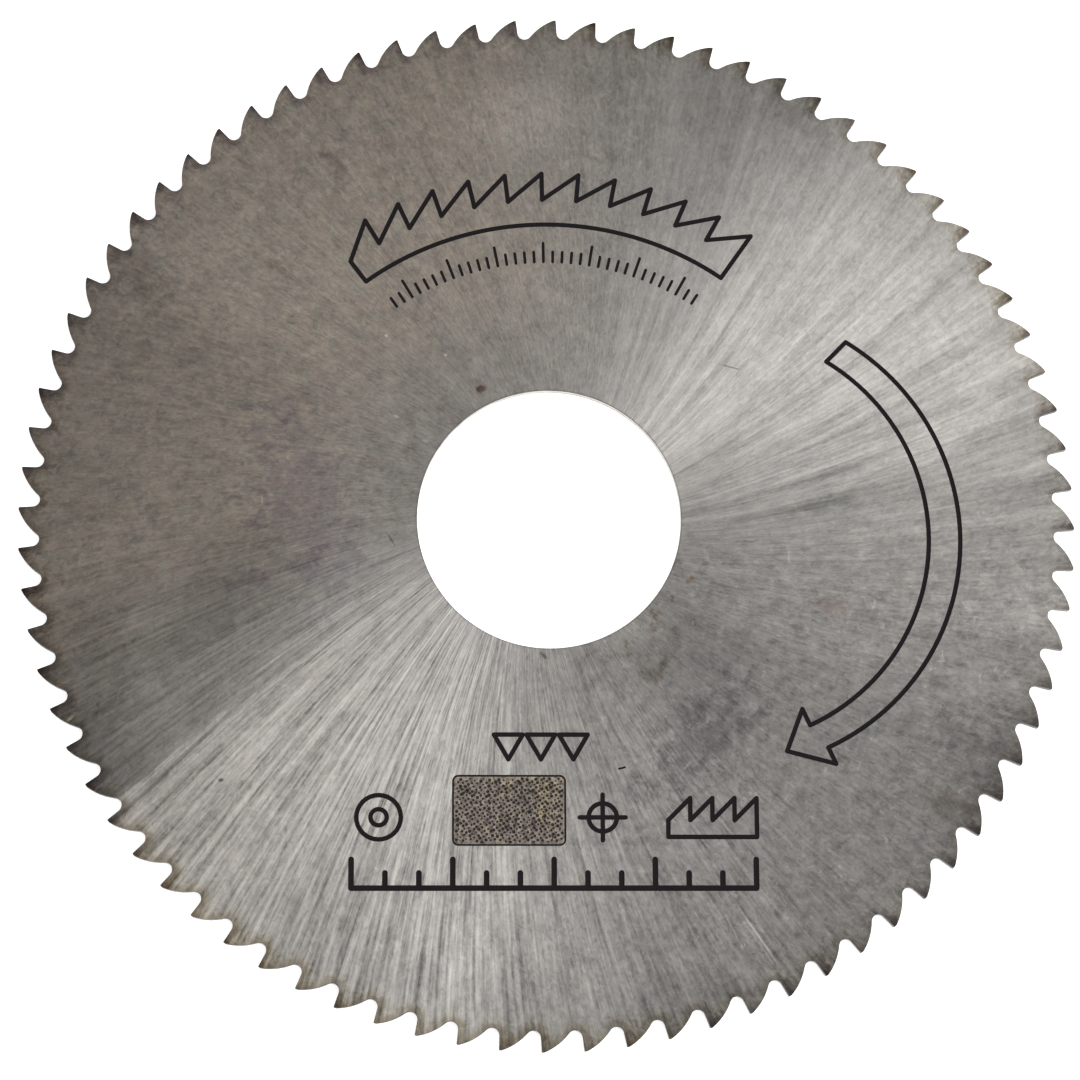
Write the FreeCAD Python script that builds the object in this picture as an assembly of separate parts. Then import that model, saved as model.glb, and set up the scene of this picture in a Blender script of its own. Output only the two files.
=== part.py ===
# A slitting saw: one thin disc of high-speed steel with fine teeth round its rim and a plain bore.
# It lies flat, marked side up. The origin is on the bore's axis at the lower face, and +Z is up.
# +X and +Y are the right and the top of the marked side. Lengths are in millimetres, angles in degrees.
# Seen from the marked side the saw turns clockwise, so each tooth's face looks clockwise.
import FreeCAD, Part
import math
import os

# The disc
outer_diameter = 32.0
bore_diameter = 8.0
thickness = 0.3

# The teeth
tooth_count = 80
tooth_depth = 0.63
gullet_radius = 0.22
rake_angle = -4.0
relief_angle = 22.5
tip_land = 0.07
first_tooth_angle = 3.5

# The pen that engraves the marks
mark_depth = 0.02
mark_line = 0.14
fine_line = 0.09
heavy_line = 0.17

# The outlined arrow that shows which way the saw turns. Its two arcs have their centres a little apart,
# so that the shaft is widest halfway along.
arrow_centre_x = 5.22
arrow_centre_y = -0.48
arrow_radius = 6.8
arrow_shaft_width = 0.74
arrow_swell = 0.22
arrow_tail_angle = 57.8
arrow_head_angle = -65.3
arrow_barb = 0.54
arrow_head_length = 1.07

# The rounded patch that is hatched over, below the bore
patch_width = 3.33
patch_height = 2.06
patch_corner_radius = 0.16
patch_centre_x = -1.23
patch_centre_y = -8.89
patch_depth = 0.01
patch_outline = 0.06

# The arc of outlined saw teeth at the top
band_middle_angle = 91.0
band_half_angle = 36.0
band_inner_radius = 9.3
band_body = 0.8
band_tooth_height = 0.85
band_teeth = 12

# The arc of short ticks under it
tick_drop = 1.2
tick_length = 0.32
long_tick_length = 0.6
tick_step = 2.0
ticks_each_side = 17
ticks_per_long_tick = 5

# The three small triangles above the patch
triangle_count = 3
triangle_side = 0.86
triangle_pitch = 0.97
triangles_middle_x = -0.28
triangles_top_y = -6.62

# The row of symbols in line with the patch: a disc, a crossed bore and a run of teeth
symbol_row_y = -9.1
disc_symbol_x = -5.1
disc_symbol_radius = 0.66
disc_symbol_bore_radius = 0.24
bore_symbol_x = 1.55
bore_symbol_radius = 0.42
bore_symbol_cross = 0.68
teeth_symbol_start_x = 3.5
teeth_symbol_pitch = 0.66
teeth_symbol_height = 0.66
teeth_symbol_body = 0.5
teeth_symbol_count = 4

# The straight scale at the bottom
scale_middle_x = 0.1
scale_base_y = -11.2
scale_step = 1.0
scale_steps_each_side = 6
scale_tick = 0.45
scale_long_tick = 0.85
scale_steps_per_long_tick = 3

UP = FreeCAD.Vector(0, 0, 1)
FULL_TURN = 360.0
QUARTER_TURN = FULL_TURN / 4


def point(x, y):
    return FreeCAD.Vector(x, y, 0)


def polar(radius, angle, centre=FreeCAD.Vector()):
    turned = math.radians(angle)
    return centre + point(radius * math.cos(turned), radius * math.sin(turned))


def line(start, end):
    return Part.LineSegment(start, end).toShape()


def short_arc(start, end, centre):
    """An arc of less than half a turn from start to end."""
    middle = (start - centre).normalize() + (end - centre).normalize()
    middle.multiply((start - centre).Length / middle.Length)
    return Part.Arc(start, centre + middle, end).toShape()


def filled(edges):
    return Part.Face(Part.Wire(edges))


def polygon(corners):
    return filled([line(start, end) for start, end in zip(corners, corners[1:] + corners[:1])])


def tooth_edges(tip_angle):
    """The edges from one cutting edge, clockwise, to the next: face, gullet, back and land."""
    tip_radius = outer_diameter / 2
    pitch_angle = FULL_TURN / tooth_count
    land_angle = math.degrees(tip_land / tip_radius)
    cutting_edge = polar(tip_radius, tip_angle)
    next_cutting_edge = polar(tip_radius, tip_angle - pitch_angle)
    heel = polar(tip_radius, tip_angle - pitch_angle + land_angle)

    # The gullet's arc touches the face and the root circle from outside
    down_face = polar(-1, tip_angle - rake_angle)
    off_face = polar(1, tip_angle - rake_angle - QUARTER_TURN)
    centre_radius = tip_radius - tooth_depth + gullet_radius
    start = cutting_edge + off_face * gullet_radius
    along = start.dot(down_face)
    slide = -along - math.sqrt(along**2 - start.dot(start) + centre_radius**2)
    gullet_centre = start + down_face * slide
    face_end = cutting_edge + down_face * slide

    # The back's arc starts at the heel with the relief angle and runs tangent into the gullet's
    into_tooth = polar(-1, tip_angle - pitch_angle + land_angle + relief_angle)
    reach = heel - gullet_centre
    back_radius = (reach.dot(reach) - gullet_radius**2) / (2 * (gullet_radius - into_tooth.dot(reach)))
    back_centre = heel + into_tooth * back_radius
    joint = gullet_centre + (back_centre - gullet_centre).normalize() * gullet_radius

    return [
        line(cutting_edge, face_end),
        short_arc(face_end, joint, gullet_centre),
        short_arc(joint, heel, back_centre),
        short_arc(heel, next_cutting_edge, point(0, 0)),
    ]


def blade():
    """The plain disc with its teeth and its bore."""
    rim = []
    for index in range(tooth_count):
        rim += tooth_edges(first_tooth_angle - index * FULL_TURN / tooth_count)
    disc = filled(rim).extrude(UP * thickness)
    bore = Part.makeCylinder(bore_diameter / 2, thickness)
    return disc.cut(bore)


def moved_left(before, here, after, distance):
    """The corner here, moved so that both sides that meet in it move left by the distance."""
    left = UP.cross((here - before).normalize())
    next_left = UP.cross((after - here).normalize())
    return here + (left + next_left) * (distance / (1 + left.dot(next_left)))


def pen_path(corners, width=mark_line):
    """An engraved line from corner to corner. Its square ends reach half a width further."""
    start = corners[0] + (corners[0] - corners[1]).normalize() * (width / 2)
    end = corners[-1] + (corners[-1] - corners[-2]).normalize() * (width / 2)
    before_start = start * 2 - corners[0]
    after_end = end * 2 - corners[-1]
    route = [before_start, start] + corners[1:-1] + [end, after_end]
    triples = list(zip(route, route[1:], route[2:]))
    left = [moved_left(*triple, width / 2) for triple in triples]
    right = [moved_left(*triple, -width / 2) for triple in triples]
    return polygon(left + right[::-1])


def pen_outline(corners, width=mark_line):
    """An engraved line round a closed shape whose corners are given anticlockwise."""
    triples = list(zip(corners[-1:] + corners[:-1], corners, corners[1:] + corners[:1]))
    outer = polygon([moved_left(*triple, -width / 2) for triple in triples])
    inner = polygon([moved_left(*triple, width / 2) for triple in triples])
    return outer.cut(inner)


def pen_arc(centre, radius, from_angle, to_angle, width=mark_line):
    """An engraved arc, anticlockwise. Its square ends reach half a width further."""
    outer = radius + width / 2
    inner = radius - width / 2
    past = math.degrees(width / 2 / radius)
    start = from_angle - past
    middle = (from_angle + to_angle) / 2
    end = to_angle + past
    return filled([
        line(polar(inner, start, centre), polar(outer, start, centre)),
        Part.Arc(*[polar(outer, angle, centre) for angle in (start, middle, end)]).toShape(),
        line(polar(outer, end, centre), polar(inner, end, centre)),
        Part.Arc(*[polar(inner, angle, centre) for angle in (end, middle, start)]).toShape(),
    ])


def pen_ring(centre, radius, width=mark_line):
    outer = Part.Wire(Part.makeCircle(radius + width / 2, centre))
    inner = Part.Wire(Part.makeCircle(radius - width / 2, centre))
    return Part.Face(outer).cut(Part.Face(inner))


def arrow_marks():
    half_width = arrow_shaft_width / 2
    outer_centre = point(arrow_centre_x + arrow_swell / 2, arrow_centre_y)
    inner_centre = point(arrow_centre_x - arrow_swell / 2, arrow_centre_y)
    outer_radius = arrow_radius + half_width
    inner_radius = arrow_radius - half_width
    across_head = polar(1, arrow_head_angle)
    inner_notch = polar(inner_radius, arrow_head_angle, inner_centre)
    outer_notch = polar(outer_radius, arrow_head_angle, outer_centre)
    inner_barb = inner_notch - across_head * arrow_barb
    outer_barb = outer_notch + across_head * arrow_barb
    head_tip = (inner_barb + outer_barb) / 2 + polar(arrow_head_length, arrow_head_angle - QUARTER_TURN)
    inner_tail = polar(inner_radius, arrow_tail_angle, inner_centre)
    outer_tail = polar(outer_radius, arrow_tail_angle, outer_centre)
    return [
        pen_arc(outer_centre, outer_radius, arrow_head_angle, arrow_tail_angle),
        pen_arc(inner_centre, inner_radius, arrow_head_angle, arrow_tail_angle),
        pen_path([inner_tail, outer_tail]),
        pen_path([inner_notch, inner_barb, head_tip, outer_barb, outer_notch]),
    ]


def band_marks():
    start = band_middle_angle - band_half_angle
    end = band_middle_angle + band_half_angle
    step = (end - start) / band_teeth
    root_radius = band_inner_radius + band_body
    tip_radius = root_radius + band_tooth_height
    corners = [polar(band_inner_radius, start), polar(root_radius, start)]
    for index in range(band_teeth):
        corners.append(polar(tip_radius, start + index * step))
        corners.append(polar(root_radius, start + (index + 1) * step))
    corners.append(polar(band_inner_radius, end))
    return [pen_path(corners), pen_arc(point(0, 0), band_inner_radius, start, end)]


def tick_marks():
    foot_radius = band_inner_radius - tick_drop
    ticks = []
    for index in range(-ticks_each_side, ticks_each_side + 1):
        length = tick_length if index % ticks_per_long_tick else long_tick_length
        angle = band_middle_angle + index * tick_step
        ticks.append(pen_path([polar(foot_radius, angle), polar(foot_radius + length, angle)], fine_line))
    return ticks


def triangle_marks():
    height = triangle_side * math.sqrt(3) / 2
    marks = []
    for index in range(triangle_count):
        middle = triangles_middle_x + (index - (triangle_count - 1) / 2) * triangle_pitch
        left = point(middle - triangle_side / 2, triangles_top_y)
        right = point(middle + triangle_side / 2, triangles_top_y)
        low = point(middle, triangles_top_y - height)
        marks.append(pen_outline([left, low, right]))
    return marks


def symbol_marks():
    disc_centre = point(disc_symbol_x, symbol_row_y)
    bore_centre = point(bore_symbol_x, symbol_row_y)
    sideways = point(bore_symbol_cross, 0)
    upwards = point(0, bore_symbol_cross)
    return [
        pen_ring(disc_centre, disc_symbol_radius),
        pen_ring(disc_centre, disc_symbol_bore_radius),
        pen_ring(bore_centre, bore_symbol_radius),
        pen_path([bore_centre - sideways, bore_centre + sideways]),
        pen_path([bore_centre - upwards, bore_centre + upwards]),
        teeth_symbol(),
    ]


def teeth_symbol():
    length = teeth_symbol_count * teeth_symbol_pitch
    base = symbol_row_y - (teeth_symbol_body + teeth_symbol_height) / 2
    root = base + teeth_symbol_body
    tip = root + teeth_symbol_height
    start = point(teeth_symbol_start_x, 0)
    corners = [start + point(0, base), start + point(length, base)]
    for index in range(teeth_symbol_count, 0, -1):
        corners.append(start + point(index * teeth_symbol_pitch, tip))
        corners.append(start + point((index - 1) * teeth_symbol_pitch, root))
    return pen_outline(corners)


def scale_marks():
    reach = scale_steps_each_side * scale_step
    left = point(scale_middle_x - reach, scale_base_y)
    right = point(scale_middle_x + reach, scale_base_y)
    marks = [pen_path([left, right], heavy_line)]
    for index in range(-scale_steps_each_side, scale_steps_each_side + 1):
        height = scale_tick if index % scale_steps_per_long_tick else scale_long_tick
        foot = point(scale_middle_x + index * scale_step, scale_base_y)
        marks.append(pen_path([foot, foot + point(0, height)], heavy_line))
    return marks


def rounded_rectangle(centre, width, height, radius):
    """A flat rectangle with rounded corners, drawn anticlockwise from its right-hand side."""
    across = width / 2 - radius
    up = height / 2 - radius
    corners = (point(across, up), point(-across, up), point(-across, -up), point(across, -up))
    arcs = []
    for index, corner in enumerate(corners):
        turns = [QUARTER_TURN * (index + share) for share in (0, 0.5, 1)]
        arcs.append([polar(radius, turn, centre + corner) for turn in turns])
    edges = []
    for arc, next_arc in zip(arcs, arcs[1:] + arcs[:1]):
        edges.append(Part.Arc(*arc).toShape())
        edges.append(line(arc[-1], next_arc[0]))
    return filled(edges)


def patch_face(grown=0.0):
    """The patch, with its edge moved out by the given length."""
    return rounded_rectangle(
        point(patch_centre_x, patch_centre_y),
        patch_width + 2 * grown,
        patch_height + 2 * grown,
        patch_corner_radius + grown,
    )


def engraved(shape, faces, depth):
    """The shape with the faces, drawn flat and joined, sunk into its marked side."""
    joined = faces[0].multiFuse(faces[1:]).removeSplitter() if len(faces) > 1 else faces[0]
    cutter = joined.extrude(UP * (2 * depth))
    return shape.cut(cutter.translated(UP * (thickness - depth)))


def saw():
    """The finished saw: the blade with all its marks."""
    outline = patch_face(patch_outline / 2).cut(patch_face(-patch_outline / 2))
    lines = [outline] + arrow_marks() + band_marks() + tick_marks()
    lines += triangle_marks() + symbol_marks() + scale_marks()
    shape = engraved(blade(), [patch_face()], patch_depth)
    return engraved(shape, lines, mark_depth)


os.makedirs("parts", exist_ok=True)
saw().exportStep("parts/saw_blade.step")
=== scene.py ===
"""The looks of a slitting saw: a thin disc of ground steel with 80 teeth, a bore and engraved marks.

The saw lies flat with its marked side up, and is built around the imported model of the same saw. The sizes of
the saw and its marks are in millimetres, as on a drawing, and are turned into metres where a mesh or a place
needs it. Angles are in degrees. Seen from the marked side the saw turns clockwise.
"""

from __future__ import annotations

import logging
import math
from collections.abc import Callable
from dataclasses import dataclass
from enum import Enum
from typing import Any

import bpy
from mathutils import Euler, Matrix, Vector


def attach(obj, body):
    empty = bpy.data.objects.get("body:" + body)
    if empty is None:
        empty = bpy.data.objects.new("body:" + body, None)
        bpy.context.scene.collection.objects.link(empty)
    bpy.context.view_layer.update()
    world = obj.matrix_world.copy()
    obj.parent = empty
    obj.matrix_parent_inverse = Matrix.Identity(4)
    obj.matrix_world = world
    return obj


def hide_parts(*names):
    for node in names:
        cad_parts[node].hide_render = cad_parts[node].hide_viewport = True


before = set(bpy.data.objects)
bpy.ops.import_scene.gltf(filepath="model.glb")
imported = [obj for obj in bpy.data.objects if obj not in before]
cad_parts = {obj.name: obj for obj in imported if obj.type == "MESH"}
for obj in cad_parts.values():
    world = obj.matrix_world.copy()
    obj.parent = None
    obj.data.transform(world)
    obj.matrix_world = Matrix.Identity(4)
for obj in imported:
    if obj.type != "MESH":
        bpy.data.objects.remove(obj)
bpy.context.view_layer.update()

log = logging.getLogger("slitting_saw")

MM = 0.001
FULL_TURN = 360.0
UP = Vector((0, 0, 1))
SAW_NODE = "saw_blade"
ZONE_ATTRIBUTE = "zone"
RADIUS_ATTRIBUTE = "pen_radius"
TAPER_ATTRIBUTE = "pen_taper"

Colour = tuple[float, float, float]
# What goes into a node's sockets, by their identifiers, names or places in the list
Inputs = dict[Any, Any]
# The angle of a sector's middle, and how far from there the sector is full and has faded out
Sector = tuple[float, float, float]


class Pen(Enum):
    """The widths of the engraved lines, in millimetres."""

    HAIR = 0.06
    FINE = 0.09
    MARK = 0.14
    HEAVY = 0.17


class Zone(Enum):
    """What a face of the saw is, as the number that the mesh stores on it."""

    GROUND = 0
    ENGRAVED = 1
    PATCH = 2


class Blend(Enum):
    """How one colour goes over another."""

    MIX = "MIX"
    MULTIPLY = "MULTIPLY"


def polar(radius: float, angle: float, centre: Vector = Vector()) -> Vector:
    """Returns the point at a radius and an angle from a centre, in the plane."""
    turned = math.radians(angle)
    return centre + Vector((radius * math.cos(turned), radius * math.sin(turned), 0))


def arc_middle(start: Vector, end: Vector, centre: Vector) -> Vector:
    """Returns the middle of an arc of less than half a turn."""
    towards = (start - centre).normalized() + (end - centre).normalized()
    return centre + towards.normalized() * (start - centre).length


def in_scene(name: str, data: Any) -> bpy.types.Object:
    """Puts a new object in the scene.

    Args:
        name: The object's name.
        data: Its mesh, light or camera.

    Returns:
        The object.
    """
    thing = bpy.data.objects.new(name, data)
    bpy.context.scene.collection.objects.link(thing)
    return thing


def find_socket(sockets: Any, name: str | int) -> bpy.types.NodeSocket:
    """Returns the socket with an identifier, or else with a name or a place in the list."""
    matches = [socket for socket in sockets if socket.identifier == name]
    return matches[0] if matches else sockets[name]


def maths(operation: str, reflected: bool = False) -> Callable[[Value, Any], Value]:
    """Makes an operator of Value.

    Args:
        operation: What its Math node does.
        reflected: Whether the value stands behind the operator's sign.

    Returns:
        The operator.
    """

    def operator(value: Value, other: Any) -> Value:
        """Adds the Math node."""
        pair = (other, value) if reflected else (value, other)
        return value.graph.add("ShaderNodeMath", dict(enumerate(pair)), operation=operation)

    return operator


class Value:
    """A node's output that Python's operators work on, by adding Math nodes to its tree."""

    __add__ = __radd__ = maths("ADD")
    __mul__ = __rmul__ = maths("MULTIPLY")
    __sub__ = maths("SUBTRACT")
    __rsub__ = maths("SUBTRACT", reflected=True)
    __truediv__ = maths("DIVIDE")
    __rtruediv__ = maths("DIVIDE", reflected=True)

    def __init__(self, graph: Graph, socket: bpy.types.NodeSocket) -> None:
        """Wraps the socket of a node in the graph."""
        self.graph = graph
        self.socket = socket

    def also(self, name: str) -> Value:
        """Returns another output of the same node."""
        return Value(self.graph, find_socket(self.socket.node.outputs, name))

    def math(self, operation: str, *others: Any) -> Value:
        """Returns the result of a Math node on this value and the others."""
        return self.graph.add("ShaderNodeMath", dict(enumerate((self, *others))), operation=operation)

    def over(self, low: float, high: float) -> Value:
        """Returns a smooth step from 0 at low to 1 at high. Low may be the larger of the two."""
        inputs = {"Value": self, "From Min": low, "From Max": high}
        return self.graph.add("ShaderNodeMapRange", inputs, interpolation_type="SMOOTHSTEP")


class Graph:
    """A node tree that is written as plain calls."""

    def __init__(self, tree: bpy.types.NodeTree) -> None:
        """Wraps the tree of a material, a world or a geometry group."""
        self.tree = tree

    def add(self, kind: str, inputs: Inputs | None = None, output: str | int = 0, **settings: Any) -> Value:
        """Adds a node.

        Args:
            kind: The node's type.
            inputs: A value, an output or a list of outputs for each socket that isn't left alone.
            output: The output to return.
            settings: The node's properties, set first.

        Returns:
            The node's output.
        """
        node = self.tree.nodes.new(kind)
        for name, setting in settings.items():
            setattr(node, name, setting)
        for name, value in (inputs or {}).items():
            self.feed(find_socket(node.inputs, name), value)
        if not node.outputs:
            return Value(self, node.inputs[0])
        return Value(self, find_socket(node.outputs, output))

    def feed(self, socket: bpy.types.NodeSocket, value: Any) -> None:
        """Links a value or a list of values to an input, or sets the input's own value.

        Args:
            socket: The input.
            value: What goes into it.
        """
        if isinstance(value, Value):
            value = [value]
        if isinstance(value, list):
            for source in value:
                self.tree.links.new(source.socket, socket)
        else:
            socket.default_value = (*value, 1.0) if socket.type == "RGBA" else value

    def vector(self, operation: str, *parts: Any) -> Value:
        """Returns the result of a Vector Math node."""
        output = "Value" if operation in ("LENGTH", "DISTANCE", "DOT_PRODUCT") else "Vector"
        return self.add("ShaderNodeVectorMath", dict(enumerate(parts)), output, operation=operation)

    def scaled(self, vector: Any, factor: Any) -> Value:
        """Returns a vector times a number."""
        return self.add("ShaderNodeVectorMath", {0: vector, "Scale": factor}, operation="SCALE")

    def turned(self, place: Value, angle: Any) -> Value:
        """Returns a place or a direction turned about the axis by an angle in radians."""
        return self.add("ShaderNodeVectorRotate", {"Vector": place, "Angle": angle}, rotation_type="Z_AXIS")

    def combined(self, **parts: Any) -> Value:
        """Returns a vector of the parts X, Y and Z, where one that isn't given is 0."""
        return self.add("ShaderNodeCombineXYZ", parts)

    def part(self, vector: Value, name: str) -> Value:
        """Returns one part of a vector. The other parts are the same node's other outputs."""
        return self.add("ShaderNodeSeparateXYZ", {0: vector}, name)

    def from_line(self, place: Value, start: Vector, end: Vector) -> Value:
        """Measures how far a place is from a straight line.

        Args:
            place: The place.
            start: The line's first point.
            end: Its last point.

        Returns:
            The distance.
        """
        line = end - start
        offset = self.vector("SUBTRACT", place, tuple(start))
        along = self.vector("DOT_PRODUCT", offset, tuple(line / line.length_squared))
        along = along.math("MAXIMUM", 0.0).math("MINIMUM", 1.0)
        return self.vector("DISTANCE", offset, self.combined(X=along * line.x, Y=along * line.y))

    def millimetres(self) -> Value:
        """Returns the place on the piece in millimetres."""
        return self.scaled(self.add("ShaderNodeTexCoord", {}, "Object"), 1 / MM)

    def noise(self, place: Value, scale: float, detail: float, roughness: float, curl: float = 0.0) -> Value:
        """Returns a noise of mean 0.5. Its output "Color" is the same in three channels of their own."""
        inputs = {"Vector": place, "Scale": scale, "Detail": detail, "Roughness": roughness}
        return self.add("ShaderNodeTexNoise", {**inputs, "Distortion": curl}, noise_dimensions="3D")

    def grey(self, level: Value) -> Value:
        """Returns a grey colour of a level."""
        return self.add("ShaderNodeCombineColor", dict.fromkeys(("Red", "Green", "Blue"), level))

    def tinted(self, colour: Any, tint: Any, amount: Any = 1.0, blend: Blend = Blend.MULTIPLY) -> Value:
        """Returns a colour with another laid over it, by an amount from 0 to 1."""
        inputs = {"Factor_Float": amount, "A_Color": colour, "B_Color": tint}
        return self.add("ShaderNodeMix", inputs, "Result_Color", data_type="RGBA", blend_type=blend.value)


class GeometryGraph(Graph):
    """A geometry node group, whose sizes are named inputs."""

    def __init__(self, name: str) -> None:
        """Makes an empty group with a geometry output and a geometry input.

        Args:
            name: The group's name.
        """
        super().__init__(bpy.data.node_groups.new(name, "GeometryNodeTree"))
        for way in ("OUTPUT", "INPUT"):
            self.tree.interface.new_socket("Geometry", in_out=way, socket_type="NodeSocketGeometry")
        self.group_input = self.tree.nodes.new("NodeGroupInput")
        self.values: Inputs = {}

    def size(self, name: str, value: Any) -> Value:
        """Declares a named input with its value.

        Args:
            name: The input's name.
            value: Its value. Its type sets the input's type.

        Returns:
            The input, for use inside the group.
        """
        kinds = {int: "Int", float: "Float", Vector: "Vector", bpy.types.Material: "Material"}
        kind = f"NodeSocket{kinds[type(value)]}"
        self.tree.interface.new_socket(name, in_out="INPUT", socket_type=kind)
        self.values[name] = value
        return self.taken(name)

    def taken(self, name: str) -> Value:
        """Returns an input of the group."""
        return Value(self, self.group_input.outputs[name])

    def give(self, result: Value) -> None:
        """Ends the group with its result."""
        self.add("NodeGroupOutput", {0: result}, is_active_output=True)

    def inside(self, outer: GeometryGraph, geometry: Value | None = None) -> Value:
        """Puts this group in another tree, which takes over its named inputs.

        Args:
            outer: The tree that uses this group.
            geometry: What goes into the group.

        Returns:
            The group's result.
        """
        inputs: Inputs = {name: outer.size(name, value) for name, value in self.values.items()}
        if geometry is not None:
            inputs["Geometry"] = geometry
        return outer.add("GeometryNodeGroup", inputs, node_tree=self.tree)

    def put_on(self, piece: bpy.types.Object) -> bpy.types.Mesh:
        """Runs the tree on a piece.

        Args:
            piece: The object that the tree starts from.

        Returns:
            A plain mesh of the result.
        """
        modifier = piece.modifiers.new(self.tree.name, "NODES")
        modifier.node_group = self.tree
        for name, value in self.values.items():
            modifier[self.tree.interface.items_tree[name].identifier] = value
        evaluated = piece.evaluated_get(bpy.context.evaluated_depsgraph_get())
        mesh = bpy.data.meshes.new_from_object(evaluated)
        piece.modifiers.remove(modifier)
        return mesh

    def position(self) -> Value:
        """Returns each point's place."""
        return self.add("GeometryNodeInputPosition")

    def attribute(self, name: str, kind: str = "FLOAT") -> Value:
        """Returns a stored attribute."""
        return self.add("GeometryNodeInputNamedAttribute", {"Name": name}, data_type=kind)

    def stored(self, geometry: Value, name: str, value: Any, **kind: str) -> Value:
        """Returns geometry that stores a value under a name."""
        inputs = {"Geometry": geometry, "Name": name, "Value": value}
        return self.add("GeometryNodeStoreNamedAttribute", inputs, **kind)

    def marked(self, geometry: Value, zone: Zone) -> Value:
        """Returns geometry whose faces store their zone."""
        return self.stored(geometry, ZONE_ATTRIBUTE, zone.value, data_type="INT", domain="FACE")

    def placed(self, geometry: Value, **how: Any) -> Value:
        """Returns geometry after a Translation, a Rotation or a Scale."""
        return self.add("GeometryNodeTransform", {"Geometry": geometry, **how})

    def moved(self, geometry: Value, **how: Any) -> Value:
        """Returns geometry whose points, or the Selection of them, have a new Position or an Offset."""
        return self.add("GeometryNodeSetPosition", {"Geometry": geometry, **how})

    def merged(self, geometry: Value, distance: float) -> Value:
        """Returns geometry whose points are merged where they meet."""
        return self.add("GeometryNodeMergeByDistance", {"Geometry": geometry, "Distance": distance})

    def join(self, *parts: Value) -> Value:
        """Returns several geometries as one."""
        return self.add("GeometryNodeJoinGeometry", {0: list(parts)})

    def repeated(self, points: Value, instance: Value, **how: Any) -> Value:
        """Returns a real copy of a geometry on each point, with a Rotation or a Scale of its own."""
        copies = self.add("GeometryNodeInstanceOnPoints", {"Points": points, "Instance": instance, **how})
        return self.add("GeometryNodeRealizeInstances", {0: copies})

    def circle(self, points: Value, radius: Any) -> Value:
        """Returns a circle as a curve."""
        inputs = {"Resolution": points, "Radius": radius}
        return self.add("GeometryNodeCurvePrimitiveCircle", inputs, mode="RADIUS")

    def filled(self, curve: Value, mode: str) -> Value:
        """Returns the sheet inside closed curves."""
        return self.add("GeometryNodeFillCurve", {"Curve": curve}, mode=mode)

    def flipped(self, mesh: Value) -> Value:
        """Returns a mesh turned inside out."""
        return self.add("GeometryNodeFlipFaces", {"Mesh": mesh})


class PenRoutes:
    """The lines that the engraving pen follows, gathered as one mesh of edges."""

    STEP = 0.3
    RING_STEPS = 32
    END_ANGLES = (82.0, 60.0, 32.0)

    def __init__(self) -> None:
        """Starts with no lines."""
        self.points: list[Vector] = []
        self.edges: list[tuple[int, int]] = []
        self.radii: list[float] = []
        self.tapers: list[float] = []

    def gather(self, points: list[Vector], tapers: list[float], pen: Pen, closed: bool = False) -> None:
        """Adds a line as it is.

        Args:
            points: The line's points in millimetres.
            tapers: How wide the line is at each, as a share of its width.
            pen: The line's width.
            closed: Whether the last point leads back to the first.
        """
        first = len(self.points)
        count = len(points)
        self.points += points
        self.tapers += tapers
        self.radii += [pen.value / 2] * count
        steps = range(count if closed else count - 1)
        self.edges += [(first + step, first + (step + 1) % count) for step in steps]

    def route(self, points: list[Vector], pen: Pen) -> None:
        """Adds a smooth open line with round ends.

        Args:
            points: The line's points.
            pen: The line's width.
        """
        back = (points[0] - points[1]).normalized() * pen.value / 2
        ahead = (points[-1] - points[-2]).normalized() * pen.value / 2
        ends = [math.radians(angle) for angle in self.END_ANGLES]
        start = [points[0] + back * math.sin(angle) for angle in ends]
        finish = [points[-1] + ahead * math.sin(angle) for angle in reversed(ends)]
        thin = [math.cos(angle) for angle in ends]
        self.gather(start + points + finish, thin + [1.0] * len(points) + thin[::-1], pen)

    def corners(self, points: list[Vector], pen: Pen, closed: bool = False) -> None:
        """Adds a line with sharp corners, as one straight route for each side.

        Args:
            points: The corners.
            pen: The line's width.
            closed: Whether a last side leads back to the first corner.
        """
        ends = points[1:] + points[:1] if closed else points[1:]
        for start, end in zip(points, ends):
            self.route([start, end], pen)

    def arc(self, centre: Vector, radius: float, start: float, end: float, pen: Pen) -> None:
        """Adds an arc.

        Args:
            centre: The arc's centre.
            radius: Its radius.
            start: The angle at which it starts.
            end: The angle at which it ends.
            pen: The line's width.
        """
        steps = max(2, round(math.radians(abs(end - start)) * radius / self.STEP))
        turns = [start + (end - start) * index / steps for index in range(steps + 1)]
        self.route([polar(radius, turn, centre) for turn in turns], pen)

    def loop(self, points: list[Vector], pen: Pen) -> None:
        """Adds a smooth closed line."""
        self.gather(points, [1.0] * len(points), pen, closed=True)

    def ring(self, centre: Vector, radius: float, pen: Pen) -> None:
        """Adds a closed circle."""
        turns = [FULL_TURN * index / self.RING_STEPS for index in range(self.RING_STEPS)]
        self.loop([polar(radius, turn, centre) for turn in turns], pen)

    def piece(self, name: str) -> bpy.types.Object:
        """Makes the lines an object, with the pen's radius and taper stored at each point.

        Args:
            name: The object's name.

        Returns:
            The object.
        """
        mesh = bpy.data.meshes.new(name)
        mesh.from_pydata(self.points, self.edges, [])
        for attribute, values in ((RADIUS_ATTRIBUTE, self.radii), (TAPER_ATTRIBUTE, self.tapers)):
            mesh.attributes.new(attribute, "FLOAT", "POINT").data.foreach_set("value", values)
        return in_scene(name, mesh)


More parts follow.
